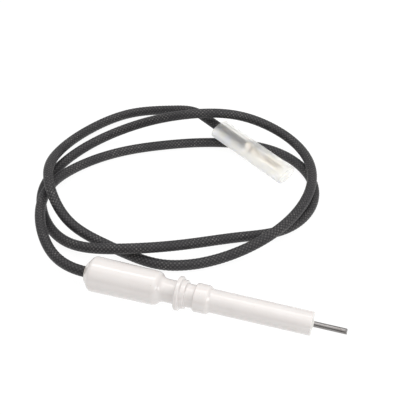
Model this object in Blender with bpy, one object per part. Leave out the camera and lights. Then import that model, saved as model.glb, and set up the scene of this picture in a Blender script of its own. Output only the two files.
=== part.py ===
"""Ignition electrode: a glazed ceramic insulator holding a metal electrode rod, with a braided
high-voltage lead that ends in a quick-connect terminal under a sliding boot.

Frame: metres, +Z up. The ceramic lies along X with its nose towards +X. The origin is below the
middle of the ceramic and its rod, on the surface that the part lies on.
"""
import math

import bmesh
import bpy
import numpy as np

MM = 0.001
GAP = 0.3 * MM

# Ceramic insulator: distances run from its rear face towards its nose
CERAMIC_LENGTH = 100.4 * MM
BARREL_R = 7.9 * MM
BARREL_FRONT_R = 7.5 * MM
BARREL_END = 31.5 * MM
REAR_RIM_R = 4.6 * MM
REAR_CONE_ANGLE = math.radians(50)
REAR_ROUND_R = 2.6 * MM
SHOULDER_ROUND_R = 3.4 * MM
NECK_R = 5.1 * MM
COLLAR_R = 7.5 * MM
COLLAR_BACK = 41.7 * MM
COLLAR_FRONT = 43.6 * MM
COLLAR_FILLET_R = 1.0 * MM
RIM_ROUND_R = 0.5 * MM
STEP_R = 6.3 * MM
STEP_END = 45.9 * MM
GROOVE_R = 5.15 * MM
BULGE_R = 6.25 * MM
BULGE_START = 49.8 * MM
BULGE_ROUND_R = 0.6 * MM
BULGE_END = 54.9 * MM
BULGE_FRONT_ROUND_R = 2.0 * MM
SLIM_R = 5.15 * MM
NOSE_R = 5.1 * MM
NOSE_ROUND_R = 0.35 * MM

# Stepped bore of the ceramic
POTTING_BORE_R = 4.0 * MM
POTTING_BORE_DEPTH = 8.0 * MM
SPLICE_BORE_R = 2.9 * MM
SPLICE_BORE_END = 36.8 * MM
CEMENT_BORE_R = 2.5 * MM
CEMENT_BORE_DEPTH = 3.0 * MM

# Electrode rod and the pieces in the bore
ROD_R = 1.25 * MM
ROD_START = 29.8 * MM
ROD_STICKOUT = 14.4 * MM
ROD_BEVEL_ANGLE = math.radians(32)
MENISCUS = 0.6 * MM
FERRULE_START = 24.8 * MM
FERRULE_END = 34.8 * MM
FERRULE_R = 2.2 * MM
REAR_CRIMP = 2.4 * MM
FRONT_CRIMP = 2.8 * MM
CRIMP_HALF = 1.0 * MM
CRIMP_FLAT_HALF = 0.6 * MM

# Lead: a braided sleeve over insulation over seven strands
LEAD_R = 2.5 * MM
LEAD_START = 12.8 * MM
INSULATION_R = 1.8 * MM
INSULATION_END = 20.8 * MM
STRAND_R = 0.21 * MM
STRAND_CIRCLE_R = 0.52 * MM
STRAND_COUNT = 7
STRAND_LAY = 16.0 * MM
LEAD_POINTS = 77

# Lead end, terminal and boot: distances run along the lead from the boot's rear end
LEAD_END_PLACE = (-30.1 * MM, 116.0 * MM, 10.4 * MM)
LEAD_END_HEADING = math.radians(-26)
LEAD_END_TILT = math.radians(-7.8)
STRAIGHT_BEHIND_BOOT = 13.0 * MM
BRAID_END = 18.0 * MM
STUB_END = 22.0 * MM
WIRE_END = 26.2 * MM
BOOT_LENGTH = 47.0 * MM
BOOT_HALF_WIDTH = 6.4 * MM
BOOT_HALF_HEIGHT = 4.0 * MM
BOOT_WALL = 0.9 * MM
BOOT_LIP = 0.3 * MM
BOOT_OFFSET = -0.7 * MM
TERMINAL_SHEET = 0.4 * MM

# Terminal stretches in millimetres: start and end, then the sheet's section as half its flat
# width, bend radius, bend angle in degrees and floor height
INSULATION_CRIMP = (19.0, 21.8, (0.1, 2.3, 158, -2.3))
FIRST_WEB = (22.7, 23.2, (0.7, 0.9, 80, -1.9))
WIRE_CRIMP = (23.7, 26.4, (0.1, 1.25, 155, -1.25))
TERMINAL_NECK = (27.2, 29.0, (1.2, 0.7, 75, -1.25))
RECEPTACLE = (30.2, 40.5, (2.45, 1.1, 212, -1.3))

TURN_STEPS = 32
SMALL_TURN_STEPS = 16

OVERALL = MENISCUS + CERAMIC_LENGTH + ROD_STICKOUT
CERAMIC_REAR_X = MENISCUS - OVERALL / 2
AXIS_Z = BARREL_R

# The lead's route in millimetres, from the ceramic's rear face to just behind the boot. It makes
# two flat laps behind the ceramic, crossing itself in low humps.
ROUTE_MM = [
    (-57.9, 0, 7.9), (-74.6, 5.2, 7.1), (-88.6, 19.6, 8.3), (-95.8, 34.5, 8.4), (-98.2, 48, 7.4),
    (-97.4, 62.5, 4.4), (-85.6, 83, 2.6), (-57.4, 102.6, 2.5), (-24.6, 114.5, 2.5), (4.9, 113.2, 2.5),
    (24.4, 95.8, 2.5), (27.4, 74.2, 2.5), (18.4, 57.0, 2.6), (0.0, 45.5, 3.2), (-22.4, 29.7, 6.8),
    (-48.7, 17.2, 8.4), (-74.6, 18, 4.2), (-93.9, 32.3, 2.5), (-103.7, 52.2, 2.5), (-102.1, 75, 2.6),
    (-91.1, 96, 4.0), (-72.3, 107.3, 10.2), (-44.2, 113.4, 18.3), (-18.6, 123.6, 14.6),
    (5.2, 122.0, 7.8), (22.2, 101.1, 7.7), (25.2, 76, 8.5), (14.4, 46.3, 7.8), (-5.6, 28.9, 3.2),
    (-28.6, 18.8, 2.5), (-56.6, 22.8, 2.7), (-79.9, 29.2, 7.4), (-94.6, 43, 13.8),
    (-105.2, 72.9, 8.4), (-100.3, 103.6, 3.3), (-84.6, 122.5, 4.0), (-60.4, 126.5, 8.8),
]
LEAD_REST_Z = LEAD_R + 0.05 * MM


# ---------------------------------------------------------------- scene, materials, helpers

def clear_scene():
    for item in list(bpy.data.objects):
        bpy.data.objects.remove(item, do_unlink=True)


def material(name, colour, roughness, metallic=0.0):
    made = bpy.data.materials.new(name)
    made.use_nodes = True
    made.diffuse_color = (*colour, 1.0)
    shader = made.node_tree.nodes["Principled BSDF"]
    shader.inputs["Base Color"].default_value = (*colour, 1.0)
    shader.inputs["Roughness"].default_value = roughness
    shader.inputs["Metallic"].default_value = metallic
    return made


def glazed_ceramic():
    return material("glazed_ceramic", (0.87, 0.86, 0.85), 0.12)


def cement():
    return material("cement", (0.42, 0.41, 0.35), 0.85)


def rod_alloy():
    return material("rod_alloy", (0.45, 0.44, 0.42), 0.38, 1.0)


def plated_steel():
    return material("plated_steel", (0.62, 0.61, 0.58), 0.35, 1.0)


def tinned_copper():
    return material("tinned_copper", (0.72, 0.66, 0.58), 0.4, 1.0)


def silicone_insulation():
    return material("silicone_insulation", (0.74, 0.70, 0.66), 0.55)


def charcoal_braid():
    return material("charcoal_braid", (0.055, 0.055, 0.06), 0.75)


def tinned_brass():
    return material("tinned_brass", (0.66, 0.60, 0.53), 0.35, 1.0)


def milky_silicone():
    return material("milky_silicone", (0.90, 0.88, 0.80), 0.4)


def axis_empty(name, place, turn=(0.0, 0.0, 0.0)):
    empty = bpy.data.objects.new(name, None)
    empty.location = place
    empty.rotation_euler = turn
    bpy.context.collection.objects.link(empty)
    return empty


def add_object(name, bm, finish, parent, offset=(0.0, 0.0, 0.0)):
    """Turn a bmesh into an object with outward faces, placed in its parent's frame."""
    bmesh.ops.recalc_face_normals(bm, faces=bm.faces)
    mesh = bpy.data.meshes.new(name)
    bm.to_mesh(mesh)
    bm.free()
    mesh.shade_smooth()
    mesh.set_sharp_from_angle(angle=math.radians(38))
    mesh.materials.append(finish)
    piece = bpy.data.objects.new(name, mesh)
    piece.parent = parent
    piece.location = offset
    bpy.context.collection.objects.link(piece)
    return piece


def arc(x, r, radius, start, stop, steps):
    """Points on an arc about (x, r), from angle start to stop in degrees."""
    return [(x + radius * math.cos(math.radians(a)), r + radius * math.sin(math.radians(a)))
            for a in np.linspace(start, stop, steps + 1)]


def turned(outline, steps):
    """Turn a closed outline of (distance, radius) points about the X axis."""
    bm = bmesh.new()
    corners = [bm.verts.new((x, 0.0, -r)) for x, r in outline]
    edges = [bm.edges.new((a, b)) for a, b in zip(corners, corners[1:] + corners[:1])
             if a.co.z != 0 or b.co.z != 0]
    bmesh.ops.spin(bm, geom=corners + edges, cent=(0, 0, 0), axis=(1, 0, 0), dvec=(0, 0, 0),
                   angle=math.tau, steps=steps, use_merge=True, use_duplicate=False)
    bmesh.ops.remove_doubles(bm, verts=bm.verts, dist=0.001 * MM)
    return bm


def rod_outline(start, end, radius):
    return [(start, 0.0), (start, radius), (end, radius), (end, 0.0)]


def tube_outline(start, end, outer, inner):
    return [(start, outer), (end, outer), (end, inner), (start, inner)]


def band_mesh(rings, closed):
    """Join rings of points with quads. A closed band's last ring joins its first one."""
    bm = bmesh.new()
    rows = [[bm.verts.new(point) for point in ring] for ring in rings]
    pairs = list(zip(rows, rows[1:] + rows[:1])) if closed else list(zip(rows, rows[1:]))
    for first, second in pairs:
        for i in range(len(first)):
            j = (i + 1) % len(first)
            bm.faces.new((first[i], first[j], second[j], second[i]))
    return bm, rows


# ---------------------------------------------------------------- ceramic insulator

def rear_outline():
    """The rear rim, and the cone that rounds into the barrel."""
    cone_end_r = BARREL_R - REAR_ROUND_R * (1 - math.cos(REAR_CONE_ANGLE))
    cone_end = (cone_end_r - REAR_RIM_R) / math.tan(REAR_CONE_ANGLE)
    round_centre = cone_end + REAR_ROUND_R * math.sin(REAR_CONE_ANGLE)
    start = 90 + math.degrees(REAR_CONE_ANGLE)
    return [(0.0, REAR_RIM_R)] + arc(round_centre, BARREL_R - REAR_ROUND_R, REAR_ROUND_R, start, 90, 3)


def double_bend(x, high, low, radius, steps):
    """A convex then a concave arc of one radius, from radius high at x down to radius low."""
    bend = math.degrees(math.acos(1 - (high - low) / (2 * radius)))
    reach = 2 * radius * math.sin(math.radians(bend))
    return (arc(x, high - radius, radius, 90, 90 - bend, steps)
            + arc(x + reach, low + radius, radius, 270 - bend, 270, steps)[1:])


def neck_outline():
    """The barrel's rounded shoulder, the neck, and the fillet up to the collar."""
    return (double_bend(BARREL_END, BARREL_FRONT_R, NECK_R, SHOULDER_ROUND_R, 5)
            + arc(COLLAR_BACK - COLLAR_FILLET_R, NECK_R + COLLAR_FILLET_R, COLLAR_FILLET_R, 270, 360, 3))


def collar_outline():
    """The collar's rounded rim, then the step in front of it."""
    rim_r = COLLAR_R - RIM_ROUND_R
    return (arc(COLLAR_BACK + RIM_ROUND_R, rim_r, RIM_ROUND_R, 180, 90, 2)
            + arc(COLLAR_FRONT - RIM_ROUND_R, rim_r, RIM_ROUND_R, 90, 0, 2)
            + [(COLLAR_FRONT, STEP_R), (STEP_END - GAP, STEP_R), (STEP_END, STEP_R - GAP),
               (STEP_END, GROOVE_R)])


def nose_outline():
    """The bulge, rounded at its back and sloping down at its front, then the slim nose."""
    back = BULGE_START + BULGE_ROUND_R
    return ([(BULGE_START, GROOVE_R)]
            + arc(back, BULGE_R - BULGE_ROUND_R, BULGE_ROUND_R, 180, 90, 2)
            + double_bend(BULGE_END, BULGE_R, SLIM_R, BULGE_FRONT_ROUND_R, 3)
            + arc(CERAMIC_LENGTH - NOSE_ROUND_R, NOSE_R - NOSE_ROUND_R, NOSE_ROUND_R, 90, 0, 2))


def bore_outline():
    """The stepped bore, from the nose back to the rear face."""
    cement_start = CERAMIC_LENGTH - CEMENT_BORE_DEPTH
    rod_bore_r = ROD_R + GAP
    return [(CERAMIC_LENGTH, CEMENT_BORE_R), (cement_start, CEMENT_BORE_R), (cement_start, rod_bore_r),
            (SPLICE_BORE_END, rod_bore_r), (SPLICE_BORE_END, SPLICE_BORE_R),
            (POTTING_BORE_DEPTH, SPLICE_BORE_R), (POTTING_BORE_DEPTH, POTTING_BORE_R),
            (0.0, POTTING_BORE_R)]


def make_ceramic(axis):
    outline = rear_outline() + neck_outline() + collar_outline() + nose_outline() + bore_outline()
    add_object("ceramic_insulator", turned(outline, TURN_STEPS), glazed_ceramic(), axis)


# ---------------------------------------------------------------- pieces in the ceramic

def make_rod(axis):
    """The electrode rod, its end cut off at a slant over half of its width."""
    tip = CERAMIC_LENGTH + ROD_STICKOUT
    bm = turned(rod_outline(ROD_START, tip, ROD_R), SMALL_TURN_STEPS)
    slant = (math.cos(ROD_BEVEL_ANGLE), 0.0, math.sin(ROD_BEVEL_ANGLE))
    bmesh.ops.bisect_plane(bm, geom=bm.verts[:] + bm.edges[:] + bm.faces[:],
                           plane_co=(tip, 0.0, 0.1 * ROD_R), plane_no=slant, clear_outer=True)
    bmesh.ops.holes_fill(bm, edges=[e for e in bm.edges if e.is_boundary])
    add_object("electrode_rod", bm, rod_alloy(), axis)


def make_nose_cement(axis):
    """Cement round the rod; its front end stands out of the nose in a low ring."""
    start = CERAMIC_LENGTH - CEMENT_BORE_DEPTH + GAP
    outer = CEMENT_BORE_R - GAP
    inner = ROD_R + GAP
    outline = [(start, outer), (CERAMIC_LENGTH, outer),
               (CERAMIC_LENGTH + 0.7 * MENISCUS, 0.5 * (outer + inner)),
               (CERAMIC_LENGTH + MENISCUS, inner), (start, inner)]
    add_object("nose_cement", turned(outline, SMALL_TURN_STEPS), cement(), axis)


def make_rear_potting(axis):
    """Cement round the lead; its rear end swells out of the ceramic in a low ring."""
    outer = POTTING_BORE_R - GAP
    inner = LEAD_R + GAP
    swell = [(-0.75 * MENISCUS, 0.8 * outer + 0.2 * inner), (-MENISCUS, 0.5 * (outer + inner)),
             (-0.85 * MENISCUS, inner)]
    outline = [(0.0, outer)] + swell + [(POTTING_BORE_DEPTH - GAP, inner),
                                        (POTTING_BORE_DEPTH - GAP, outer)]
    add_object("rear_potting", turned(outline, 2 * SMALL_TURN_STEPS), cement(), axis)


def make_splice_ferrule(axis):
    """A tube crimped on the strands at its rear and on the rod at its front."""
    middle = ROD_START - GAP
    waist_r = FERRULE_R - GAP
    strand_bore = STRAND_CIRCLE_R + STRAND_R + GAP
    rod_bore = ROD_R + GAP
    outline = [(FERRULE_START, FERRULE_R)]
    for crimp in (FERRULE_START + REAR_CRIMP, FERRULE_END - FRONT_CRIMP):
        outline += [(crimp - CRIMP_HALF, FERRULE_R), (crimp - CRIMP_FLAT_HALF, waist_r),
                    (crimp + CRIMP_FLAT_HALF, waist_r), (crimp + CRIMP_HALF, FERRULE_R)]
    outline += [(FERRULE_END, FERRULE_R), (FERRULE_END, rod_bore), (middle, rod_bore),
                (middle, strand_bore), (FERRULE_START, strand_bore)]
    add_object("splice_ferrule", turned(outline, SMALL_TURN_STEPS), plated_steel(), axis)


def make_insulation(name, axis, start, end):
    add_object(name, turned(rod_outline(start, end, INSULATION_R), SMALL_TURN_STEPS),
               silicone_insulation(), axis)


def make_strands(prefix, axis, start, end):
    """One straight strand with six laid round it as helices."""
    finish = tinned_copper()
    for number in range(STRAND_COUNT):
        radius = 0.0 if number == 0 else STRAND_CIRCLE_R
        phase = math.tau * number / (STRAND_COUNT - 1)
        points = []
        for x in np.linspace(start, end, 7):
            angle = phase + math.tau * x / STRAND_LAY
            points.append((x, radius * math.cos(angle), radius * math.sin(angle)))
        add_tube(f"{prefix}_{number + 1}", points, STRAND_R, 1, finish, axis)


# ---------------------------------------------------------------- lead

def add_tube(name, points, radius, resolution, finish, parent):
    """A round wire along points, as a curve with filled ends."""
    curve = bpy.data.curves.new(name, "CURVE")
    curve.dimensions = "3D"
    curve.bevel_depth = radius
    curve.bevel_resolution = resolution
    curve.use_fill_caps = True
    curve.materials.append(finish)
    line = curve.splines.new("POLY")
    line.points.add(len(points) - 1)
    for point, place in zip(line.points, points):
        point.co = (*place, 1.0)
    line.use_smooth = True
    tube = bpy.data.objects.new(name, curve)
    tube.parent = parent
    bpy.context.collection.objects.link(tube)
    return tube


def smooth_curve(points, start_way, end_way):
    """Cubic spline through points with set end directions, as points at equal spacing."""
    p = np.asarray(points, float)
    knots = np.concatenate([[0.0], np.cumsum(np.linalg.norm(np.diff(p, axis=0), axis=1))])
    span = np.diff(knots)
    rise = np.diff(p, axis=0) / span[:, None]
    count = len(p)
    matrix = np.zeros((count, count))
    side = np.zeros((count, 3))
    matrix[0, :2] = (2 * span[0], span[0])
    side[0] = 6 * (rise[0] - start_way)
    matrix[-1, -2:] = (span[-1], 2 * span[-1])
    side[-1] = 6 * (end_way - rise[-1])
    for i in range(1, count - 1):
        matrix[i, i - 1:i + 2] = (span[i - 1], 2 * (span[i - 1] + span[i]), span[i])
        side[i] = 6 * (rise[i] - rise[i - 1])
    bend = np.linalg.solve(matrix, side)
    place = np.linspace(0.0, knots[-1], 40 * count)
    k = np.clip(np.searchsorted(knots, place) - 1, 0, count - 2)
    h = span[k][:, None]
    before = (knots[k + 1] - place)[:, None]
    after = (place - knots[k])[:, None]
    return (bend[k] * before ** 3 / (6 * h) + bend[k + 1] * after ** 3 / (6 * h)
            + (p[k] / h - bend[k] * h / 6) * before + (p[k + 1] / h - bend[k + 1] * h / 6) * after)


def even_points(path, count):
    """The same path as count points at equal distances along it."""
    reach = np.concatenate([[0.0], np.cumsum(np.linalg.norm(np.diff(path, axis=0), axis=1))])
    place = np.linspace(0.0, reach[-1], count)
    return np.column_stack([np.interp(place, reach, path[:, k]) for k in range(3)])


def lead_end_way():
    """Direction of the lead's last stretch, towards the terminal."""
    flat = math.cos(LEAD_END_TILT)
    return np.array([math.cos(LEAD_END_HEADING) * flat, math.sin(LEAD_END_HEADING) * flat,
                     math.sin(LEAD_END_TILT)])


def lead_path():
    """The lead's centre line, from inside the ceramic to inside the boot."""
    way = lead_end_way()
    end = np.array(LEAD_END_PLACE)
    route = [np.array(point) * MM for point in ROUTE_MM] + [end - way * STRAIGHT_BEHIND_BOOT]
    free = smooth_curve(route, np.array([-1.0, 0.0, 0.0]), way)
    free[:, 2] = np.maximum(free[:, 2], LEAD_REST_Z)
    inside = np.array([CERAMIC_REAR_X + LEAD_START, 0.0, AXIS_Z])
    return np.vstack([inside, free, end + way * BRAID_END])


def make_lead():
    points = even_points(lead_path(), LEAD_POINTS)
    add_tube("ignition_lead", [tuple(point) for point in points], LEAD_R, 3, charcoal_braid(), None)


# ---------------------------------------------------------------- terminal and boot

def sheet_section(base, bend_r, bend, floor_z):
    """Cross-section of the terminal's sheet: a flat base whose two sides bend upwards.

    base is half the flat width, bend_r the bend's middle radius and bend its angle in degrees.
    """
    outer = []
    inner = []
    angles = np.radians(np.linspace(0.0, bend, 8))
    turns = [(-1, a) for a in angles[::-1]] + [(1, a) for a in angles]
    for side, a in turns:
        way = np.array([side * math.sin(a), -math.cos(a)])
        centre = np.array([side * base, floor_z + bend_r])
        outer.append(centre + way * (bend_r + TERMINAL_SHEET / 2))
        inner.append(centre + way * (bend_r - TERMINAL_SHEET / 2))
    return outer, inner


def terminal_stations():
    """(distance along the lead, section) from the insulation crimp to the receptacle's mouth."""
    stations = []
    for start, end, section in (INSULATION_CRIMP, FIRST_WEB, WIRE_CRIMP, TERMINAL_NECK, RECEPTACLE):
        base, bend_r, bend, floor_z = section
        for place in (start, end):
            stations.append((place * MM, (base * MM, bend_r * MM, bend, floor_z * MM)))
    return stations


def make_terminal(axis):
    """A female quick-connect terminal bent from one sheet."""
    rings = []
    for x, section in terminal_stations():
        outer, inner = sheet_section(*section)
        rings.append([(x, y, z) for y, z in outer + inner[::-1]])
    bm, rows = band_mesh(rings, closed=False)
    half = len(rows[0]) // 2
    for row in (rows[0], rows[-1]):
        for i in range(half - 1):
            bm.faces.new((row[i], row[i + 1], row[-2 - i], row[-1 - i]))
    add_object("quick_connect_terminal", bm, tinned_brass(), axis)


def oval(x, half_width, half_height, steps=28):
    return [(x, half_width * math.cos(a), half_height * math.sin(a))
            for a in np.linspace(0.0, math.tau, steps, endpoint=False)]


def make_boot(axis):
    """An oval sleeve open at both ends; it slides back along the lead to bare the terminal."""
    lip = BOOT_LIP
    in_width = BOOT_HALF_WIDTH - BOOT_WALL
    in_height = BOOT_HALF_HEIGHT - BOOT_WALL
    middle = BOOT_LENGTH / 2
    rings = [oval(0.0, BOOT_HALF_WIDTH - lip, BOOT_HALF_HEIGHT - lip),
             oval(lip, BOOT_HALF_WIDTH, BOOT_HALF_HEIGHT),
             oval(middle, BOOT_HALF_WIDTH, BOOT_HALF_HEIGHT),
             oval(BOOT_LENGTH - lip, BOOT_HALF_WIDTH, BOOT_HALF_HEIGHT),
             oval(BOOT_LENGTH, BOOT_HALF_WIDTH - lip, BOOT_HALF_HEIGHT - lip),
             oval(BOOT_LENGTH, in_width, in_height),
             oval(middle, in_width, in_height),
             oval(0.0, in_width, in_height)]
    bm, _ = band_mesh(rings, closed=True)
    add_object("terminal_boot", bm, milky_silicone(), axis, offset=(0.0, BOOT_OFFSET, 0.0))


# ---------------------------------------------------------------- assembly

def main():
    clear_scene()
    electrode_axis = axis_empty("electrode_axis", (CERAMIC_REAR_X, 0.0, AXIS_Z))
    make_ceramic(electrode_axis)
    make_rod(electrode_axis)
    make_nose_cement(electrode_axis)
    make_rear_potting(electrode_axis)
    make_splice_ferrule(electrode_axis)
    make_insulation("lead_insulation_front", electrode_axis, LEAD_START + GAP, INSULATION_END)
    make_strands("conductor_strand", electrode_axis, INSULATION_END + GAP, ROD_START - 3 * GAP)
    make_lead()
    lead_end_axis = axis_empty("lead_end_axis", LEAD_END_PLACE, (0.0, -LEAD_END_TILT, LEAD_END_HEADING))
    make_insulation("lead_insulation_end", lead_end_axis, BRAID_END + GAP, STUB_END)
    make_strands("terminal_strand", lead_end_axis, STUB_END + GAP, WIRE_END)
    make_terminal(lead_end_axis)
    make_boot(lead_end_axis)


main()
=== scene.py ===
"""Looks of the ignition electrode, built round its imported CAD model."""
import math

import bpy
import numpy as np
from mathutils import Matrix, Vector, noise


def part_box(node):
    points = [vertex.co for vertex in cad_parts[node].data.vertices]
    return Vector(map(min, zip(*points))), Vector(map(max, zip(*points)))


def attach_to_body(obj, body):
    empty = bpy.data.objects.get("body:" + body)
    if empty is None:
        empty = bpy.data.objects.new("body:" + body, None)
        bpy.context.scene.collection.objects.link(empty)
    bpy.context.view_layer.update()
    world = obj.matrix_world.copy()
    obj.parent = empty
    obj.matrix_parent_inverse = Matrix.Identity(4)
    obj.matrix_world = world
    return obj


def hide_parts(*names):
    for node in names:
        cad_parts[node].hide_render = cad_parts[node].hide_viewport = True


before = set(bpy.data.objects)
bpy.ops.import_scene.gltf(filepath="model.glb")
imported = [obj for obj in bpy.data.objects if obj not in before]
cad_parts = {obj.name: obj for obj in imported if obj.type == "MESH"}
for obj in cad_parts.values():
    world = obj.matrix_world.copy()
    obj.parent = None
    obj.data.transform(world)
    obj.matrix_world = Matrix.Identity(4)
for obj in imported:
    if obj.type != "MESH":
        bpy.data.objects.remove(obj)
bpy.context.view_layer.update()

MM = 0.001

# ---------------------------------------------------------------- places and sizes

# From the frame
CERAMIC_LOW, CERAMIC_HIGH = (Vector(corner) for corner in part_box("ceramic_insulator"))
REAR_X = CERAMIC_LOW.x
CERAMIC_LENGTH = CERAMIC_HIGH.x - CERAMIC_LOW.x
AXIS_Z = (CERAMIC_LOW.z + CERAMIC_HIGH.z) / 2
TIP_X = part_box("electrode_rod")[1][0]
CEMENT_REAR_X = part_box("rear_potting")[0][0]
AXIS = Matrix.Translation((REAR_X, 0.0, AXIS_Z))

# Inside the ceramic: distances run forward from its rear end
CEMENT_DEPTH = 8.0 * MM
CEMENT_BORE_R = 4.0 * MM
FERRULE_BORE_R = 2.9 * MM
FERRULE_BORE_END = 36.8 * MM
ROD_BORE_R = 1.55 * MM
ROD_START = 29.8 * MM
ROD_R = 1.25 * MM
NOSE_RECESS = 3.0 * MM
NOSE_RECESS_R = 2.5 * MM

# Lead
LEAD_R = 2.5 * MM
LEAD_REST_Z = LEAD_R + 0.05 * MM
LEAD_START = 12.8 * MM
FRONT_STUB_END = 20.8 * MM
BRAID_REPEATS = 8
BRAID_PITCH = 1.9 * MM
BRAID_RELIEF = 0.13 * MM
BRAID_STEPS = 4

# Lead end: distances run along the lead from the boot's rear end
LEAD_END = np.array((-30.1, 116.0, 10.4)) * MM
LEAD_END_HEADING = math.radians(-26)
LEAD_END_TILT = math.radians(-7.8)
STRAIGHT_BEHIND_BOOT = 13.0 * MM
BRAID_END = 18.0 * MM
STUB_END = 22.0 * MM
WIRE_END = 26.2 * MM
TERMINAL_START = 19.0 * MM
TERMINAL_END = 40.5 * MM
INSULATION_R = 1.8 * MM
STRANDS = 7
BOOT_LENGTH = 47.0 * MM
BOOT_HALF_WIDTH = 6.4 * MM
BOOT_HALF_HEIGHT = 4.0 * MM
BOOT_WALL = 0.9 * MM
BOOT_OFFSET = -0.7 * MM
END_AXIS = (Matrix.Translation(LEAD_END.tolist())
            @ Matrix.Rotation(LEAD_END_HEADING, 4, "Z") @ Matrix.Rotation(-LEAD_END_TILT, 4, "Y"))

# The lead's route in millimetres: two flat laps behind the ceramic, with low crossings
ROUTE_MM = [
    (-57.9, 0, 7.9), (-74.6, 5.2, 7.1), (-88.6, 19.6, 8.3), (-95.8, 34.5, 8.4), (-98.2, 48, 7.4),
    (-97.4, 62.5, 4.4), (-85.6, 83, 2.6), (-57.4, 102.6, 2.5), (-24.6, 114.5, 2.5), (4.9, 113.2, 2.5),
    (24.4, 95.8, 2.5), (27.4, 74.2, 2.5), (18.4, 57.0, 2.6), (0.0, 45.5, 3.2), (-22.4, 29.7, 6.8),
    (-48.7, 17.2, 8.4), (-74.6, 18, 4.2), (-93.9, 32.3, 2.5), (-103.7, 52.2, 2.5), (-102.1, 75, 2.6),
    (-91.1, 96, 4.0), (-72.3, 107.3, 10.2), (-44.2, 113.4, 18.3), (-18.6, 123.6, 14.6),
    (5.2, 122.0, 7.8), (22.2, 101.1, 7.7), (25.2, 76, 8.5), (14.4, 46.3, 7.8), (-5.6, 28.9, 3.2),
    (-28.6, 18.8, 2.5), (-56.6, 22.8, 2.7), (-79.9, 29.2, 7.4), (-94.6, 43, 13.8),
    (-105.2, 72.9, 8.4), (-100.3, 103.6, 3.3), (-84.6, 122.5, 4.0), (-60.4, 126.5, 8.8),
]


# ---------------------------------------------------------------- camera, light and floor

def add_camera():
    """A long lens from the front right, 42 degrees above the floor."""
    data = bpy.data.cameras.new("camera")
    data.lens = 69.4
    data.sensor_width = 36.0
    data.clip_start = 0.01
    camera = bpy.data.objects.new("camera", data)
    target = Vector((-21.45, 64.4, 0.0)) * MM
    camera.location = Vector((63.65, -216.5, 264.3)) * MM
    camera.rotation_mode = "QUATERNION"
    camera.rotation_quaternion = (target - camera.location).to_track_quat("-Z", "Y")
    bpy.context.scene.collection.objects.link(camera)
    bpy.context.scene.camera = camera


def add_softbox(name, place, aim_y, size, power):
    """A white rectangular light that faces a point on the floor at X 0."""
    data = bpy.data.lights.new(name, "AREA")
    data.shape = "RECTANGLE"
    data.size, data.size_y = size
    data.energy = power
    light = bpy.data.objects.new(name, data)
    light.location = place
    way = Vector((0.0, aim_y, 0.0)) - Vector(place)
    light.rotation_mode = "QUATERNION"
    light.rotation_quaternion = way.to_track_quat("-Z", "Y")
    bpy.context.scene.collection.objects.link(light)


def add_studio():
    """A white backdrop, light that grows towards the ceiling, two softboxes overhead and two at the sides."""
    horizon_strength, ceiling_strength, backward_lean = 0.1, 1.25, 0.12
    world = bpy.data.worlds.new("studio")
    world.use_nodes = True
    tree = world.node_tree
    background = tree.nodes["Background"]
    background.inputs["Color"].default_value = (1.0, 0.995, 0.99, 1.0)
    coordinates = tree.nodes.new("ShaderNodeTexCoord")
    split = tree.nodes.new("ShaderNodeSeparateXYZ")
    rise = tree.nodes.new("ShaderNodeMapRange")
    rise.inputs["To Min"].default_value = horizon_strength
    rise.inputs["To Max"].default_value = ceiling_strength
    tree.links.new(coordinates.outputs["Generated"], split.inputs[0])
    lean = tree.nodes.new("ShaderNodeMath")
    lean.operation = "MULTIPLY_ADD"
    tree.links.new(split.outputs["Y"], lean.inputs[0])
    lean.inputs[1].default_value = backward_lean
    tree.links.new(split.outputs["Z"], lean.inputs[2])
    tree.links.new(lean.outputs[0], rise.inputs["Value"])
    ray = tree.nodes.new("ShaderNodeLightPath")
    backdrop = tree.nodes.new("ShaderNodeMath")
    backdrop.operation = "MAXIMUM"
    tree.links.new(rise.outputs[0], backdrop.inputs[0])
    tree.links.new(ray.outputs["Is Camera Ray"], backdrop.inputs[1])
    tree.links.new(backdrop.outputs[0], background.inputs["Strength"])
    bpy.context.scene.world = world
    bpy.context.scene.view_settings.view_transform = "Standard"
    add_softbox("overhead", (-0.05, -0.1, 1.0), 0.03, (1.2, 0.6), 1.8)
    add_softbox("strip", (-0.05, 0.34, 1.0), 0.03, (1.2, 0.22), 2.0)
    add_softbox("left", (-0.9, -0.2, 0.9), 0.05, (0.6, 0.6), 0.15)
    add_softbox("right", (0.9, -0.35, 0.42), 0.03, (0.5, 0.35), 2.6)


def add_floor():
    """A wide white floor with a glow of its own, so that no horizon or dark shadow shows."""
    mesh = bpy.data.meshes.new("floor")
    half, drop = 20.0, 0.02 * MM
    mesh.from_pydata([(-half, -half, 0), (half, -half, 0), (half, half, 0), (-half, half, 0)], [],
                     [(0, 1, 2, 3)])
    floor = bpy.data.objects.new("floor", mesh)
    floor.location.z = -drop
    bpy.context.scene.collection.objects.link(floor)
    finish = bpy.data.materials.new("floor_white")
    finish.use_nodes = True
    shader = finish.node_tree.nodes["Principled BSDF"]
    shader.inputs["Base Color"].default_value = (0.08, 0.08, 0.08, 1.0)
    shader.inputs["Roughness"].default_value = 0.9
    shader.inputs["Emission Color"].default_value = (1.0, 1.0, 1.0, 1.0)
    shader.inputs["Emission Strength"].default_value = 0.94
    mesh.materials.append(finish)


# ---------------------------------------------------------------- material helpers

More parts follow.
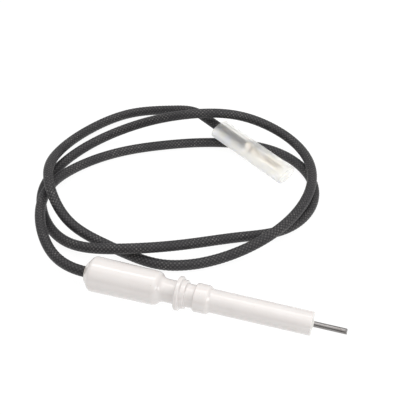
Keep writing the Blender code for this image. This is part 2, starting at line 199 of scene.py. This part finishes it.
class Finish:
    """A procedural material: one Principled BSDF and the nodes that feed it."""

    def __init__(self, name, colour, roughness, metallic=0.0, **fixed):
        self.made = bpy.data.materials.new(name)
        self.made.use_nodes = True
        self.made.diffuse_color = (*colour, 1.0)
        self.tree = self.made.node_tree
        self.shader = self.tree.nodes["Principled BSDF"]
        self.fix("Base Color", (*colour, 1.0))
        self.fix("Roughness", roughness)
        self.fix("Metallic", metallic)
        for key, value in fixed.items():
            self.fix(key.replace("_", " "), value)

    def fix(self, socket, value):
        self.shader.inputs[socket].default_value = value

    def feed(self, socket, source):
        self.tree.links.new(source, self.shader.inputs[socket])

    def node(self, kind, **settings):
        made = self.tree.nodes.new(kind)
        for key, value in settings.items():
            setattr(made, key, value)
        return made

    def put(self, node, socket, value):
        """Link a socket, or set a plain value, on a node's input."""
        if isinstance(value, bpy.types.NodeSocket):
            self.tree.links.new(value, node.inputs[socket])
        else:
            node.inputs[socket].default_value = value

    def math(self, operation, first, second=0.0, third=0.0):
        made = self.node("ShaderNodeMath", operation=operation)
        for i, value in enumerate((first, second, third)):
            self.put(made, i, value)
        return made.outputs[0]

    def blend(self, share, low, high):
        """Mix two colours, or a socket and a colour."""
        made = self.node("ShaderNodeMix", data_type="RGBA")
        self.put(made, 0, share)
        for socket, value in ((6, low), (7, high)):
            self.put(made, socket, (*value, 1.0) if isinstance(value, tuple) else value)
        return made.outputs[2]

    def span(self, value, low, high, out_low=0.0, out_high=1.0):
        made = self.node("ShaderNodeMapRange")
        for i, part in enumerate((value, low, high, out_low, out_high)):
            self.put(made, i, part)
        return made.outputs[0]

    def place(self, scale=(1.0, 1.0, 1.0)):
        """Object coordinates in metres, stretched by scale."""
        coordinates = self.node("ShaderNodeTexCoord")
        mapping = self.node("ShaderNodeMapping")
        self.put(mapping, "Vector", coordinates.outputs["Object"])
        self.put(mapping, "Scale", scale)
        return mapping.outputs[0]

    def forward(self):
        """Distance along X in metres."""
        split = self.node("ShaderNodeSeparateXYZ")
        self.put(split, 0, self.place())
        return split.outputs[0]

    def noise(self, scale, detail=3.0, rough=0.55, at=None):
        made = self.node("ShaderNodeTexNoise")
        self.put(made, "Scale", scale)
        self.put(made, "Detail", detail)
        self.put(made, "Roughness", rough)
        self.put(made, "Vector", at or self.place())
        return made.outputs["Fac"]

    def bump(self, height, distance, strength=1.0):
        made = self.node("ShaderNodeBump")
        self.put(made, "Height", height)
        self.put(made, "Distance", distance)
        self.put(made, "Strength", strength)
        self.feed("Normal", made.outputs[0])


def glaze():
    """Glossy white glaze, a little uneven in tone, bare and matt at the two cut ends."""
    made = Finish("glaze", (0.86, 0.85, 0.845), 0.13, Coat_Weight=0.6, Coat_Roughness=0.04,
                  Subsurface_Weight=0.12, Subsurface_Scale=0.0012, IOR=1.52)
    made.fix("Subsurface Radius", (1.0, 0.8, 0.7))
    along = made.forward()
    nose_x = REAR_X + CERAMIC_LENGTH
    bare_rear = made.span(along, REAR_X + 0.5 * MM, REAR_X + 0.2 * MM)
    bare_nose = made.span(along, nose_x - 0.12 * MM, nose_x - 0.02 * MM)
    bare = made.math("MAXIMUM", bare_rear, bare_nose)
    cloud = made.noise(90.0, 3.0)
    tone = made.blend(made.span(cloud, 0.35, 0.65), (0.745, 0.710, 0.692), (0.72, 0.682, 0.664))
    speck = made.span(made.noise(1400.0, 1.0), 0.74, 0.78)
    tone = made.blend(speck, tone, (0.62, 0.58, 0.53))
    # A patchy, darker olive tint over the ceramic's rear end, fading out 1.9 mm forward of it.
    blotches = made.span(made.noise(900.0, 4.0, 0.7), 0.3, 0.7, 0.35, 1.0)
    blotches = made.math("MULTIPLY", made.span(along, REAR_X + 1.9 * MM, REAR_X + 0.5 * MM), blotches)
    tone = made.blend(made.math("MULTIPLY", blotches, 0.75), tone, (0.47, 0.45, 0.38))
    made.feed("Base Color", made.blend(made.math("MULTIPLY", bare_nose, 0.6), tone, (0.86, 0.84, 0.80)))
    shine = made.span(made.noise(300.0, 2.0), 0.3, 0.7, 0.10, 0.17)
    made.feed("Roughness", made.math("MAXIMUM", shine, made.math("MULTIPLY", bare, 0.65)))
    made.bump(made.noise(170.0, 2.0), 0.06 * MM, 0.5)
    return made.made


def cement():
    """Furnace cement with sand grains and pores: olive-grey at the rear, white round the rod."""
    made = Finish("cement", (0.40, 0.385, 0.33), 0.9)
    grain = made.noise(2600.0, 4.0, 0.7)
    patch = made.noise(500.0, 2.0)
    tone = made.blend(made.span(grain, 0.35, 0.7), (0.27, 0.26, 0.215), (0.55, 0.53, 0.46))
    tone = made.blend(made.span(patch, 0.4, 0.65, 0.0, 0.5), tone, (0.62, 0.60, 0.55))
    fresh = made.blend(grain, (0.72, 0.70, 0.66), (0.88, 0.87, 0.84))
    made.feed("Base Color", made.blend(made.span(made.forward(), -0.01, 0.01), tone, fresh))
    made.bump(grain, 0.12 * MM, 0.8)
    return made.made


def rod_alloy():
    """Drawn heat-resisting wire: long fine scratches and a faint oxide tint."""
    made = Finish("rod_alloy", (0.46, 0.45, 0.44), 0.3, 1.0, Anisotropic=0.35)
    lines = made.noise(1.0, 4.0, 0.6, made.place((120.0, 9000.0, 9000.0)))
    patch = made.noise(260.0, 3.0)
    tone = made.blend(made.span(lines, 0.3, 0.7), (0.15, 0.142, 0.14), (0.38, 0.367, 0.36))
    made.feed("Base Color", made.blend(made.span(patch, 0.45, 0.7, 0.0, 0.35), tone, (0.17, 0.15, 0.135)))
    made.feed("Roughness", made.span(lines, 0.3, 0.7, 0.18, 0.30))
    made.bump(lines, 0.02 * MM, 0.5)
    return made.made


def plated_steel():
    """Nickel-plated sheet, smeared by handling."""
    made = Finish("plated_steel", (0.62, 0.61, 0.58), 0.34, 1.0)
    smear = made.noise(700.0, 3.0)
    made.feed("Base Color", made.blend(smear, (0.52, 0.50, 0.46), (0.70, 0.69, 0.66)))
    made.feed("Roughness", made.span(smear, 0.3, 0.7, 0.26, 0.45))
    made.bump(smear, 0.02 * MM, 0.4)
    return made.made


def tinned_copper():
    """Tinned wire with the copper showing through in places."""
    made = Finish("tinned_copper", (0.72, 0.66, 0.58), 0.38, 1.0)
    wear_and_glint_patches = made.noise(1500.0, 3.0)
    made.feed("Base Color", made.blend(made.span(wear_and_glint_patches, 0.45, 0.68), (0.72, 0.70, 0.66), (0.66, 0.42, 0.28)))
    made.feed("Roughness", made.span(wear_and_glint_patches, 0.3, 0.7, 0.3, 0.5))
    made.bump(wear_and_glint_patches, 0.01 * MM, 0.5)
    return made.made


def silicone_insulation():
    """Stripped silicone rubber, dusty where it was cut."""
    made = Finish("silicone_insulation", (0.66, 0.60, 0.55), 0.55, Subsurface_Weight=0.2,
                  Subsurface_Scale=0.0006)
    blotches = made.noise(1800.0, 3.0)
    made.feed("Base Color", made.blend(blotches, (0.60, 0.54, 0.49), (0.74, 0.69, 0.64)))
    made.feed("Roughness", made.span(blotches, 0.3, 0.7, 0.45, 0.7))
    made.bump(blotches, 0.02 * MM, 0.4)
    return made.made


def charcoal_braid():
    """Black glass-fibre braid: yarns that pass over and under, each a flat bundle of filaments, with painted
    glints on the yarn crowns and painted shade in the gaps.
    """
    filaments_per_yarn, filament_height = 5, 0.16
    made = Finish("charcoal_braid", (0.02, 0.02, 0.022), 0.5, Specular_IOR_Level=0.4)
    chart = made.node("ShaderNodeUVMap", uv_map="braid")
    split = made.node("ShaderNodeSeparateXYZ")
    made.put(split, 0, chart.outputs[0])
    turn, run = split.outputs[0], split.outputs[1]
    right = made.math("ADD", turn, run)
    left = made.math("SUBTRACT", turn, run)
    crossing = made.math("ADD", made.math("FLOOR", right), made.math("FLOOR", left))
    parity = made.math("PINGPONG", crossing, 1.0)
    right_in = made.math("SUBTRACT", made.math("FRACT", right), 0.5)
    left_in = made.math("SUBTRACT", made.math("FRACT", left), 0.5)
    swap = made.math("SUBTRACT", left_in, right_in)
    across = made.math("MULTIPLY_ADD", swap, parity, right_in)
    along = made.math("MULTIPLY_ADD", made.math("MULTIPLY", swap, -1.0), parity, left_in)
    filaments = made.math("SINE", made.math("MULTIPLY", across, filaments_per_yarn * math.tau))
    crown = made.math("COSINE", made.math("MULTIPLY", across, math.pi))
    dive = made.math("COSINE", made.math("MULTIPLY", along, math.pi))
    pillow = made.math("MULTIPLY", crown, dive)
    height = made.math("MULTIPLY_ADD", filaments, filament_height, made.math("POWER", pillow, 0.5))
    fibre = made.noise(3200.0, 3.0, 0.7)
    patch = made.noise(260.0, 2.0)
    # Painted highlight: glints of light fibre colour on the yarn crowns, shown in patches along the lead.
    glint_spread = made.span(made.noise(70.0, 2.0), 0.38, 0.62, 0.3, 1.0)
    wear_and_glint_patches = made.math("MULTIPLY", glint_spread, made.span(made.noise(900.0, 1.0), 0.4, 0.6, 0.35, 1.0))
    painted_glints = made.math("MULTIPLY", made.span(pillow, 0.35, 0.9), made.span(fibre, 0.47, 0.66))
    painted_glints = made.math("MULTIPLY", painted_glints, wear_and_glint_patches)
    # Painted shade: the gaps between the yarns are darker than the yarn crowns.
    body = made.blend(made.span(pillow, 0.0, 0.5), (0.005, 0.005, 0.006), (0.027, 0.0255, 0.029))
    body = made.blend(painted_glints, body, (0.42, 0.395, 0.365))
    made.feed("Base Color", made.blend(made.span(patch, 0.35, 0.7, 0.0, 0.3), body, (0.018, 0.017, 0.017)))
    made.feed("Roughness", made.span(fibre, 0.3, 0.7, 0.36, 0.62))
    made.bump(height, 0.10 * MM, 0.9)
    return made.made


def tinned_brass():
    """Tin-plated sheet with rub marks and brass showing faintly."""
    made = Finish("tinned_brass", (0.66, 0.60, 0.53), 0.32, 1.0)
    rub = made.noise(1.0, 4.0, 0.6, made.place((500.0, 1500.0, 1500.0)))
    wear_and_glint_patches = made.noise(900.0, 3.0)
    tone = made.blend(rub, (0.72, 0.70, 0.67), (0.88, 0.86, 0.83))
    made.feed("Base Color", made.blend(made.span(wear_and_glint_patches, 0.5, 0.7, 0.0, 0.6), tone, (0.74, 0.60, 0.38)))
    made.feed("Roughness", made.span(rub, 0.3, 0.7, 0.5, 0.7))
    made.bump(rub, 0.015 * MM, 0.5)
    return made.made


def milky_silicone():
    """Silicone with a powdery bloom, clear enough over its top to show the lead, milkier underneath."""
    made = Finish("milky_silicone", (0.99, 0.985, 0.96), 0.85, IOR=1.12, Alpha=0.7, Coat_Weight=0.12,
                  Coat_Roughness=0.25, Sheen_Weight=0.9, Sheen_Roughness=0.6, Subsurface_Weight=1.0,
                  Subsurface_Scale=0.003)
    made.fix("Subsurface Radius", (1.0, 0.95, 0.8))
    clear_way = END_AXIS.to_3x3() @ Vector((0.0, 0.5, 0.87))
    reach = made.node("ShaderNodeVectorMath", operation="DOT_PRODUCT")
    made.put(reach, 0, made.place())
    made.put(reach, 1, clear_way)
    middle = clear_way.dot(Vector(LEAD_END))
    clear = made.span(reach.outputs["Value"], middle - 2.2 * MM, middle + 1.3 * MM, 0.15, 0.9)
    made.feed("Transmission Weight", clear)
    cloud = made.noise(160.0, 3.0)
    made.feed("Base Color", made.blend(cloud, (0.999, 0.99, 0.955), (0.99, 0.975, 0.925)))
    made.feed("Roughness", made.span(made.noise(420.0, 3.0), 0.3, 0.7, 0.78, 0.95))
    made.bump(made.noise(300.0, 2.0), 0.05 * MM, 0.35)
    return made.made


# ---------------------------------------------------------------- shape helpers

def add_mesh(name, points, faces, finish, body, node, sharp=40):
    """A smooth-shaded piece that rides on a body and stands for a CAD node."""
    mesh = bpy.data.meshes.new(name)
    mesh.from_pydata([tuple(point) for point in points], [], faces)
    mesh.update()
    mesh.shade_smooth()
    mesh.set_sharp_from_angle(angle=math.radians(sharp))
    mesh.materials.append(finish)
    piece = bpy.data.objects.new(name, mesh)
    bpy.context.scene.collection.objects.link(piece)
    attach(piece, body, node)
    return piece


def attach(piece, body, node):
    """Hide the CAD node that a piece stands for, and hang the piece on the body that it rides on."""
    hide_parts(node)
    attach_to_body(piece, body)


def moved(points, matrix):
    """Points as an array, moved by a 4 by 4 matrix."""
    place = np.array(matrix)
    return np.asarray(points) @ place[:3, :3].T + place[:3, 3]


def band_faces(rows, width, closed):
    """Quads between rows of points that are each a closed ring."""
    row = np.arange(rows if closed else rows - 1)[:, None]
    column = np.arange(width)[None, :]
    after = (column + 1) % width
    below = (row + 1) % rows
    quads = np.stack([row * width + column, below * width + column, below * width + after,
                      row * width + after], axis=2)
    return quads.reshape(-1, 4)


def arc(x, r, radius, start, stop, steps=8):
    """Points on an arc about (x, r), from angle start to stop in degrees."""
    turn = np.radians(np.linspace(start, stop, steps + 1))
    return list(zip(x + radius * np.cos(turn), r + radius * np.sin(turn)))


def line(first, last, steps):
    """Evenly spaced points between two ends, without the ends."""
    return [tuple(point) for point in np.linspace(first, last, steps + 1)[1:-1]]


def revolve(outline, steps):
    """Turn a closed outline of (distance, radius) about X. The outline runs rear to front outside."""
    x, r = np.array(outline).T
    turn = np.linspace(0.0, math.tau, steps, endpoint=False)
    points = np.stack([np.broadcast_to(x[:, None], (len(x), steps)), np.outer(r, np.sin(turn)),
                       np.outer(r, np.cos(turn))], axis=2)
    return points, band_faces(len(x), steps, closed=True)


def rough_up(points, size, height, seed):
    """Move points along their distance from the X axis by smooth noise."""
    out = points.reshape(-1, 3).copy()
    for point in out:
        radius = math.hypot(point[1], point[2])
        if radius > 0:
            lift = noise.noise(Vector(point) / size + Vector((seed, 0.0, 0.0))) * height
            point[1:] *= 1 + lift / radius
    return out


def tube_outline(start, end, outer, inner, edge=0.15 * MM):
    """A tube's outline with rounded outer edges."""
    return (arc(start + edge, outer - edge, edge, 180, 90, 4) + arc(end - edge, outer - edge, edge, 90, 0, 4)
            + [(end, inner), (start, inner)])


# ---------------------------------------------------------------- ceramic insulator

def double_bend(x, high, low, radius, steps):
    """A convex then a concave arc of one radius, from radius high at x down to radius low."""
    bend = math.degrees(math.acos(1 - (high - low) / (2 * radius)))
    reach = 2 * radius * math.sin(math.radians(bend))
    return (arc(x, high - radius, radius, 90, 90 - bend, steps)
            + arc(x + reach, low + radius, radius, 270 - bend, 270, steps)[1:])


def ceramic_outline():
    """The glazed body's outline from its rear rim to its nose, then back through the bore."""
    cone, rear_round = 50, 2.6 * MM
    barrel_front_r, barrel_end, shoulder_round = 7.5 * MM, 31.5 * MM, 3.4 * MM
    rim_r, rim_edge = 4.6 * MM, 0.3 * MM
    slope = math.radians(cone)
    cone_end = (AXIS_Z - rear_round * (1 - math.cos(slope)) - rim_r) / math.tan(slope)
    round_x = cone_end + rear_round * math.sin(slope)
    outline = arc(rim_edge, rim_r - 0.11 * MM, rim_edge, 180, 90 + cone, 4)
    outline += arc(round_x, AXIS_Z - rear_round, rear_round, 90 + cone, 90, 12)
    outline += line((round_x, AXIS_Z), (barrel_end, barrel_front_r), 8)
    neck_r, collar_r, collar_back, collar_front = 5.1 * MM, 7.5 * MM, 41.7 * MM, 43.6 * MM
    flare, rim = 1.0 * MM, 0.55 * MM
    outline += double_bend(barrel_end, barrel_front_r, neck_r, shoulder_round, 12)
    outline += arc(collar_back - flare, neck_r + flare, flare, 270, 360, 8)
    outline += arc(collar_back + rim, collar_r - rim, rim, 180, 90, 7)
    outline += arc(collar_front - rim, collar_r - rim, rim, 90, 0, 7)
    step_r, step_end, soft = 6.3 * MM, 45.9 * MM, 0.45 * MM
    outline += arc(collar_front + soft, step_r + soft, soft, 180, 270, 5)
    outline += arc(step_end - soft, step_r - soft, soft, 90, 0, 6)
    groove_r, bulge_r, bulge_start, bulge_end = 5.15 * MM, 6.25 * MM, 49.8 * MM, 54.9 * MM
    heel, crest, bulge_round = 0.3 * MM, 0.6 * MM, 2.0 * MM
    outline += arc(step_end + soft, groove_r + soft, soft, 180, 270, 5)
    outline += arc(bulge_start - heel, groove_r + heel, heel, 270, 360, 5)
    outline += arc(bulge_start + crest, bulge_r - crest, crest, 180, 90, 7)
    slim_r, nose_r, nose_edge, end = 5.15 * MM, 5.1 * MM, 0.35 * MM, CERAMIC_LENGTH
    outline += double_bend(bulge_end, bulge_r, slim_r, bulge_round, 8)
    outline += line((bulge_end + 3 * MM, slim_r), (end - nose_edge, nose_r), 12)
    outline += arc(end - nose_edge, nose_r - nose_edge, nose_edge, 90, 0, 6)
    outline += [(end, NOSE_RECESS_R + 0.05 * MM), (end - 0.1 * MM, NOSE_RECESS_R),
                (end - NOSE_RECESS, NOSE_RECESS_R), (end - NOSE_RECESS, ROD_BORE_R),
                (FERRULE_BORE_END, ROD_BORE_R), (FERRULE_BORE_END, FERRULE_BORE_R),
                (CEMENT_DEPTH, FERRULE_BORE_R), (CEMENT_DEPTH, CEMENT_BORE_R), (0.0, CEMENT_BORE_R)]
    return outline


def add_ceramic(finish):
    """The insulator, one fired piece turned about its axis."""
    points, faces = revolve(ceramic_outline(), 160)
    add_mesh("glazed_insulator", moved(points.reshape(-1, 3), AXIS), faces, finish, "electrode",
             "ceramic_insulator", 50)


def add_cement(finish):
    """The sandy fillet of cement round the lead at the rear, and the low ring round the rod."""
    swell = REAR_X - CEMENT_REAR_X
    depth = CEMENT_DEPTH - 0.3 * MM
    outer, inner, smear = CEMENT_BORE_R - 0.05 * MM, LEAD_R + 0.02 * MM, 4.4 * MM
    fillet = [(-0.08 * MM - swell * (1 - k / 8) ** 1.3, inner + (smear - inner) * k / 8) for k in range(9)]
    points, faces = revolve(fillet + [(-0.02 * MM, smear), (-0.02 * MM, outer)]
                            + line((0.0, outer), (depth, outer), 6)
                            + [(depth, outer), (depth, inner)], 96)
    add_mesh("cable_cement", moved(rough_up(points, 0.9 * MM, 0.09 * MM, 3), AXIS), faces, finish,
             "electrode", "rear_potting", 60)
    start = CERAMIC_LENGTH - NOSE_RECESS + 0.3 * MM
    outer, inner = NOSE_RECESS_R - 0.06 * MM, ROD_R + 0.02 * MM
    fillet = [(CERAMIC_LENGTH + 0.6 * MM * (k / 6) ** 1.6, outer + (inner - outer) * k / 6) for k in range(7)]
    points, faces = revolve([(start, outer), (CERAMIC_LENGTH - 0.1 * MM, outer)] + fillet
                            + [(start, inner)], 64)
    add_mesh("rod_cement", moved(rough_up(points, 0.7 * MM, 0.06 * MM, 9), AXIS), faces, finish,
             "electrode", "nose_cement", 60)


def add_rod(finish):
    """The drawn rod. Its end is cut at a slant over the upper half, with a fine burr below."""
    cut = math.tan(math.radians(32))
    start, tip = ROD_START, TIP_X - REAR_X
    steps = 48
    turn = np.linspace(0.0, math.tau, steps, endpoint=False)
    sides = np.stack([np.sin(turn), np.cos(turn)], axis=1)
    rows = []
    for x, share in ((start, 0.0), (start, 0.88), (start + 0.14 * MM, 1.0), (tip - 3 * MM, 1.0)):
        rows.append([(x, y * ROD_R * share, z * ROD_R * share) for y, z in sides])
    for share in (1.0, 0.97, 0.6, 0.2, 0.0):
        row = []
        for y, z in sides * share * ROD_R:
            slant = max(0.0, z - 0.12 * MM) * cut
            edge = 0.05 * MM if share == 1.0 else 0.0
            row.append((tip - slant - edge, y, z))
        rows.append(row)
    faces = band_faces(len(rows), steps, closed=False)
    add_mesh("drawn_rod", moved(np.array(rows).reshape(-1, 3), AXIS), faces, finish, "electrode",
             "electrode_rod", 35)


# ---------------------------------------------------------------- lead

def smooth_curve(points, start_way, end_way):
    """Cubic spline through points with set end directions, as closely spaced points."""
    p = np.asarray(points, float)
    knots = np.concatenate([[0.0], np.cumsum(np.linalg.norm(np.diff(p, axis=0), axis=1))])
    span = np.diff(knots)
    rise = np.diff(p, axis=0) / span[:, None]
    count = len(p)
    matrix = np.zeros((count, count))
    side = np.zeros((count, 3))
    matrix[0, :2] = (2 * span[0], span[0])
    side[0] = 6 * (rise[0] - start_way)
    matrix[-1, -2:] = (span[-1], 2 * span[-1])
    side[-1] = 6 * (end_way - rise[-1])
    for i in range(1, count - 1):
        matrix[i, i - 1:i + 2] = (span[i - 1], 2 * (span[i - 1] + span[i]), span[i])
        side[i] = 6 * (rise[i] - rise[i - 1])
    bend = np.linalg.solve(matrix, side)
    points_per_knot = 40
    place = np.linspace(0.0, knots[-1], points_per_knot * count)
    k = np.clip(np.searchsorted(knots, place) - 1, 0, count - 2)
    h = span[k][:, None]
    before = (knots[k + 1] - place)[:, None]
    after = (place - knots[k])[:, None]
    return (bend[k] * before ** 3 / (6 * h) + bend[k + 1] * after ** 3 / (6 * h)
            + (p[k] / h - bend[k] * h / 6) * before + (p[k + 1] / h - bend[k + 1] * h / 6) * after)


def even_points(path, step):
    """The same path as points about step apart, and its length."""
    reach = np.concatenate([[0.0], np.cumsum(np.linalg.norm(np.diff(path, axis=0), axis=1))])
    place = np.linspace(0.0, reach[-1], round(reach[-1] / step) + 1)
    return np.column_stack([np.interp(place, reach, path[:, k]) for k in range(3)]), reach[-1]


def lead_path():
    """The lead's centre line, from inside the ceramic to inside the boot."""
    way = np.array(END_AXIS)[:3, 0]
    route = [np.array(point) * MM for point in ROUTE_MM] + [LEAD_END - way * STRAIGHT_BEHIND_BOOT]
    free = smooth_curve(route, np.array([-1.0, 0.0, 0.0]), way)
    free[:, 2] = np.maximum(free[:, 2], LEAD_REST_Z)
    inside = np.array([REAR_X + LEAD_START, 0.0, AXIS_Z])
    return np.vstack([inside, free, LEAD_END + way * BRAID_END])


def carried_frames(path):
    """Unit side and up vectors along the path that never twist about it."""
    way = np.gradient(path, axis=0)
    way /= np.linalg.norm(way, axis=1)[:, None]
    up = np.zeros_like(path)
    up[0] = (0.0, 0.0, 1.0)
    for i in range(1, len(path)):
        carried = up[i - 1] - way[i] * (up[i - 1] @ way[i])
        up[i] = carried / np.linalg.norm(carried)
    return np.cross(way, up), up


def braid_height(turn, run):
    """Height of the braid, 0 in the gaps and 1 on the crown of the yarn on top."""
    right = (turn + run) % 1.0 - 0.5
    left = (turn - run) % 1.0 - 0.5
    return np.sqrt(np.clip(np.cos(math.pi * right) * np.cos(math.pi * left), 0.0, 1.0))


def add_lead(finish):
    """The braided lead as a tube whose surface is the weave itself, its cut ends turned in."""
    path, length = even_points(lead_path(), BRAID_PITCH / BRAID_STEPS)
    side, up = carried_frames(path)
    width = BRAID_REPEATS * BRAID_STEPS
    turn = np.arange(width) / BRAID_STEPS
    run = np.linspace(0.0, length / BRAID_PITCH, len(path))
    angle = turn / BRAID_REPEATS * math.tau
    radius = LEAD_R - BRAID_RELIEF * (1 - braid_height(turn[None, :], run[:, None]))
    row = np.arange(len(path))
    from_end = np.minimum(row, row[::-1])
    turned_in, fade_rows = 0.16, 1.2
    radius *= (1 - turned_in * np.exp(-from_end / fade_rows))[:, None]
    ring = side[:, None, :] * np.cos(angle)[None, :, None] + up[:, None, :] * np.sin(angle)[None, :, None]
    points = (path[:, None, :] + ring * radius[:, :, None]).reshape(-1, 3)
    faces = band_faces(len(path), width, closed=False)[:, ::-1].tolist()
    last = (len(path) - 1) * width
    first_cap = [list(range(width))]
    last_cap = [list(range(last + width - 1, last - 1, -1))]
    piece = add_mesh("braided_lead", points, faces + first_cap + last_cap, finish, "electrode",
                     "ignition_lead", 60)
    chart = piece.data.uv_layers.new(name="braid")
    corner = np.zeros(len(piece.data.loops), dtype=np.int32)
    piece.data.loops.foreach_get("vertex_index", corner)
    around = (corner % width).astype(float) / BRAID_STEPS
    quads = len(faces) * 4
    seam = around[:quads].reshape(-1, 4)
    seam[(seam.max(axis=1) - seam.min(axis=1) > BRAID_REPEATS / 2)[:, None] & (seam == 0)] = BRAID_REPEATS
    around[:quads] = seam.reshape(-1)
    chart.data.foreach_set("uv", np.column_stack([around, run[corner // width]]).ravel())
    return piece, path, length


# ---------------------------------------------------------------- lead end: stub, strands, terminal, boot

def add_stub(name, node, matrix, start, end, finish):
    """Stripped insulation with softly cut edges."""
    outline = tube_outline(start, end, INSULATION_R, 0.78 * MM)
    points, faces = revolve(outline, 40)
    return add_mesh(name, moved(rough_up(points, 1.2 * MM, 0.04 * MM, 5), matrix), faces, finish,
                    "electrode", node)


def add_strands(prefix, node, matrix, start, end, finish):
    """Fine wires twisted together, all but the first laid round the first."""
    wire_r, ring_r, twist_length = 0.24 * MM, 0.52 * MM, 16 * MM
    made = []
    for number in range(STRANDS):
        radius = 0.0 if number == 0 else ring_r
        phase = math.tau * number / (STRANDS - 1)
        x = np.linspace(start, end, 25)
        angle = phase + math.tau * x / twist_length
        centre = moved(np.stack([x, radius * np.cos(angle), radius * np.sin(angle)], axis=1), matrix)
        curve = bpy.data.curves.new(f"{prefix}_{number + 1}", "CURVE")
        curve.dimensions = "3D"
        curve.bevel_depth = wire_r
        curve.bevel_resolution = 3
        curve.use_fill_caps = True
        curve.materials.append(finish)
        wire = curve.splines.new("POLY")
        wire.points.add(len(centre) - 1)
        for point, place in zip(wire.points, centre):
            point.co = (*place, 1.0)
        wire.use_smooth = True
        piece = bpy.data.objects.new(f"{prefix}_{number + 1}", curve)
        bpy.context.scene.collection.objects.link(piece)
        attach(piece, "electrode", f"{node}_{number + 1}")
        made.append(piece)
    return made


def sheet_section(base, bend_r, bend, floor_z, thick=0.4 * MM, steps=22):
    """Cross-section of a bent sheet: a flat base whose two sides curl up through bend degrees."""
    turn = np.radians(np.linspace(0.0, bend, steps))
    way = np.stack([np.sin(turn), -np.cos(turn)], axis=1)
    centre = np.array([base, floor_z + bend_r])
    flip = np.array([-1.0, 1.0])
    outer = centre + way * (bend_r + thick / 2)
    inner = centre + way * (bend_r - thick / 2)
    return np.vstack([outer[::-1] * flip, outer, inner[::-1], inner * flip])


def terminal_shape(x):
    """(base, bend radius, bend angle, floor height) of the terminal's sheet at distance x."""
    stations = [
        (19.0, 0.1, 2.30, 158, -2.30), (21.8, 0.1, 2.30, 158, -2.30), (22.7, 0.7, 0.90, 80, -1.90),
        (23.2, 0.7, 0.90, 80, -1.90), (23.7, 0.1, 1.25, 155, -1.25), (26.4, 0.1, 1.25, 155, -1.25),
        (27.2, 1.2, 0.70, 75, -1.25), (29.0, 1.2, 0.70, 75, -1.25), (30.2, 2.45, 1.10, 212, -1.30),
        (40.5, 2.45, 1.10, 212, -1.30),
    ]
    place = np.array([station[0] for station in stations]) * MM
    k = int(np.clip(np.searchsorted(place, x) - 1, 0, len(stations) - 2))
    share = (x - place[k]) / (place[k + 1] - place[k])
    share = share * share * (3 - 2 * share)
    low, high = np.array(stations[k][1:]), np.array(stations[k + 1][1:])
    base, bend_r, bend, floor_z = low + (high - low) * share
    return base * MM, bend_r * MM, bend, floor_z * MM


def crimp_mark(x):
    """How far the crimping tool pressed the sheet in at distance x."""
    marks = ((24.4 * MM, 0.07 * MM), (25.7 * MM, 0.07 * MM), (20.4 * MM, 0.05 * MM))
    spread = 0.28 * MM
    return sum(depth * math.exp(-((x - place) / spread) ** 2) for place, depth in marks)


def add_terminal(finish):
    """The female quick-connect terminal: two crimps, a neck and a curled receptacle."""
    mouth_length, mouth_flare = 0.5 * MM, 0.10 * MM
    shaped_end, lip_start = 30.4 * MM, TERMINAL_END - 0.3 * MM
    places = np.unique(np.concatenate([np.linspace(TERMINAL_START, shaped_end, 77),
                                       np.linspace(shaped_end, lip_start, 20),
                                       np.linspace(lip_start, TERMINAL_END, 4)]))
    rings = []
    for x in places:
        base, bend_r, bend, floor_z = terminal_shape(x)
        flare = mouth_flare * max(0.0, 1 - (TERMINAL_END - x) / mouth_length)
        section = sheet_section(base, bend_r - crimp_mark(x) + flare, bend, floor_z + crimp_mark(x) - flare)
        rings.append(np.column_stack([np.full(len(section), x), section]))
    width = len(rings[0])
    faces = band_faces(len(rings), width, closed=False)[:, ::-1].tolist()
    half = width // 2
    for start, way in ((0, 1), ((len(rings) - 1) * width, -1)):
        for i in range(half - 1):
            faces.append([start + k for k in (i, i + 1, width - 2 - i, width - 1 - i)][::way])
    return add_mesh("crimped_terminal", moved(np.vstack(rings), END_AXIS), faces, finish, "electrode",
                    "quick_connect_terminal", 40)


def add_boot(finish):
    """The soft oval sleeve, with rounded lips and a slightly uneven wall."""
    wave_length, wave_height = 9 * MM, 0.06 * MM
    lip = BOOT_WALL / 2
    stations = []
    for x, way in ((lip, -1), (BOOT_LENGTH - lip, 1)):
        bow = [(x + way * lip * math.sin(a), lip * math.cos(a)) for a in np.linspace(0.0, math.pi, 9)]
        stations.append(bow if way > 0 else bow[::-1])
    rear, front = stations
    outer = [(x, lip) for x in np.linspace(lip, BOOT_LENGTH - lip, 26)[1:-1]]
    inner = [(x, -lip) for x, _ in outer[::-1]]
    outline = rear + outer + front + inner
    steps = 80
    turn = np.linspace(0.0, math.tau, steps, endpoint=False)
    rings = []
    for x, out in outline:
        half_width = BOOT_HALF_WIDTH - lip + out
        half_height = BOOT_HALF_HEIGHT - lip + out
        rings.append([(x, BOOT_OFFSET + half_width * math.cos(a), half_height * math.sin(a)) for a in turn])
    points = np.array(rings).reshape(-1, 3)
    for point in points:
        wave = noise.noise(Vector(point) / wave_length) * wave_height
        point[1] -= wave
        point[2] += abs(wave) * (1 if point[2] < 0 else -1)
    faces = band_faces(len(outline), steps, closed=True)[:, ::-1]
    return add_mesh("clear_boot", moved(points, END_AXIS), faces, finish, "boot", "terminal_boot",
                    60)


def dress_hidden(copper, steel):
    """CAD nodes inside the ceramic keep their shape and get real materials."""
    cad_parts["splice_ferrule"].material_slots[0].material = steel
    for number in range(STRANDS):
        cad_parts[f"conductor_strand_{number + 1}"].material_slots[0].material = copper


def main():
    add_camera()
    add_studio()
    add_floor()
    cement_finish, copper, rubber = cement(), tinned_copper(), silicone_insulation()
    lead, path, length = add_lead(charcoal_braid())
    add_ceramic(glaze())
    add_cement(cement_finish)
    add_rod(rod_alloy())
    add_stub("front_stub", "lead_insulation_front", AXIS, LEAD_START + 0.3 * MM, FRONT_STUB_END, rubber)
    dress_hidden(copper, plated_steel())
    stub = add_stub("end_stub", "lead_insulation_end", END_AXIS, BRAID_END + 0.02 * MM, STUB_END, rubber)
    wires = add_strands("end_strand", "terminal_strand", END_AXIS, STUB_END - 0.5 * MM, WIRE_END, copper)
    terminal = add_terminal(tinned_brass())
    boot = add_boot(milky_silicone())


main()
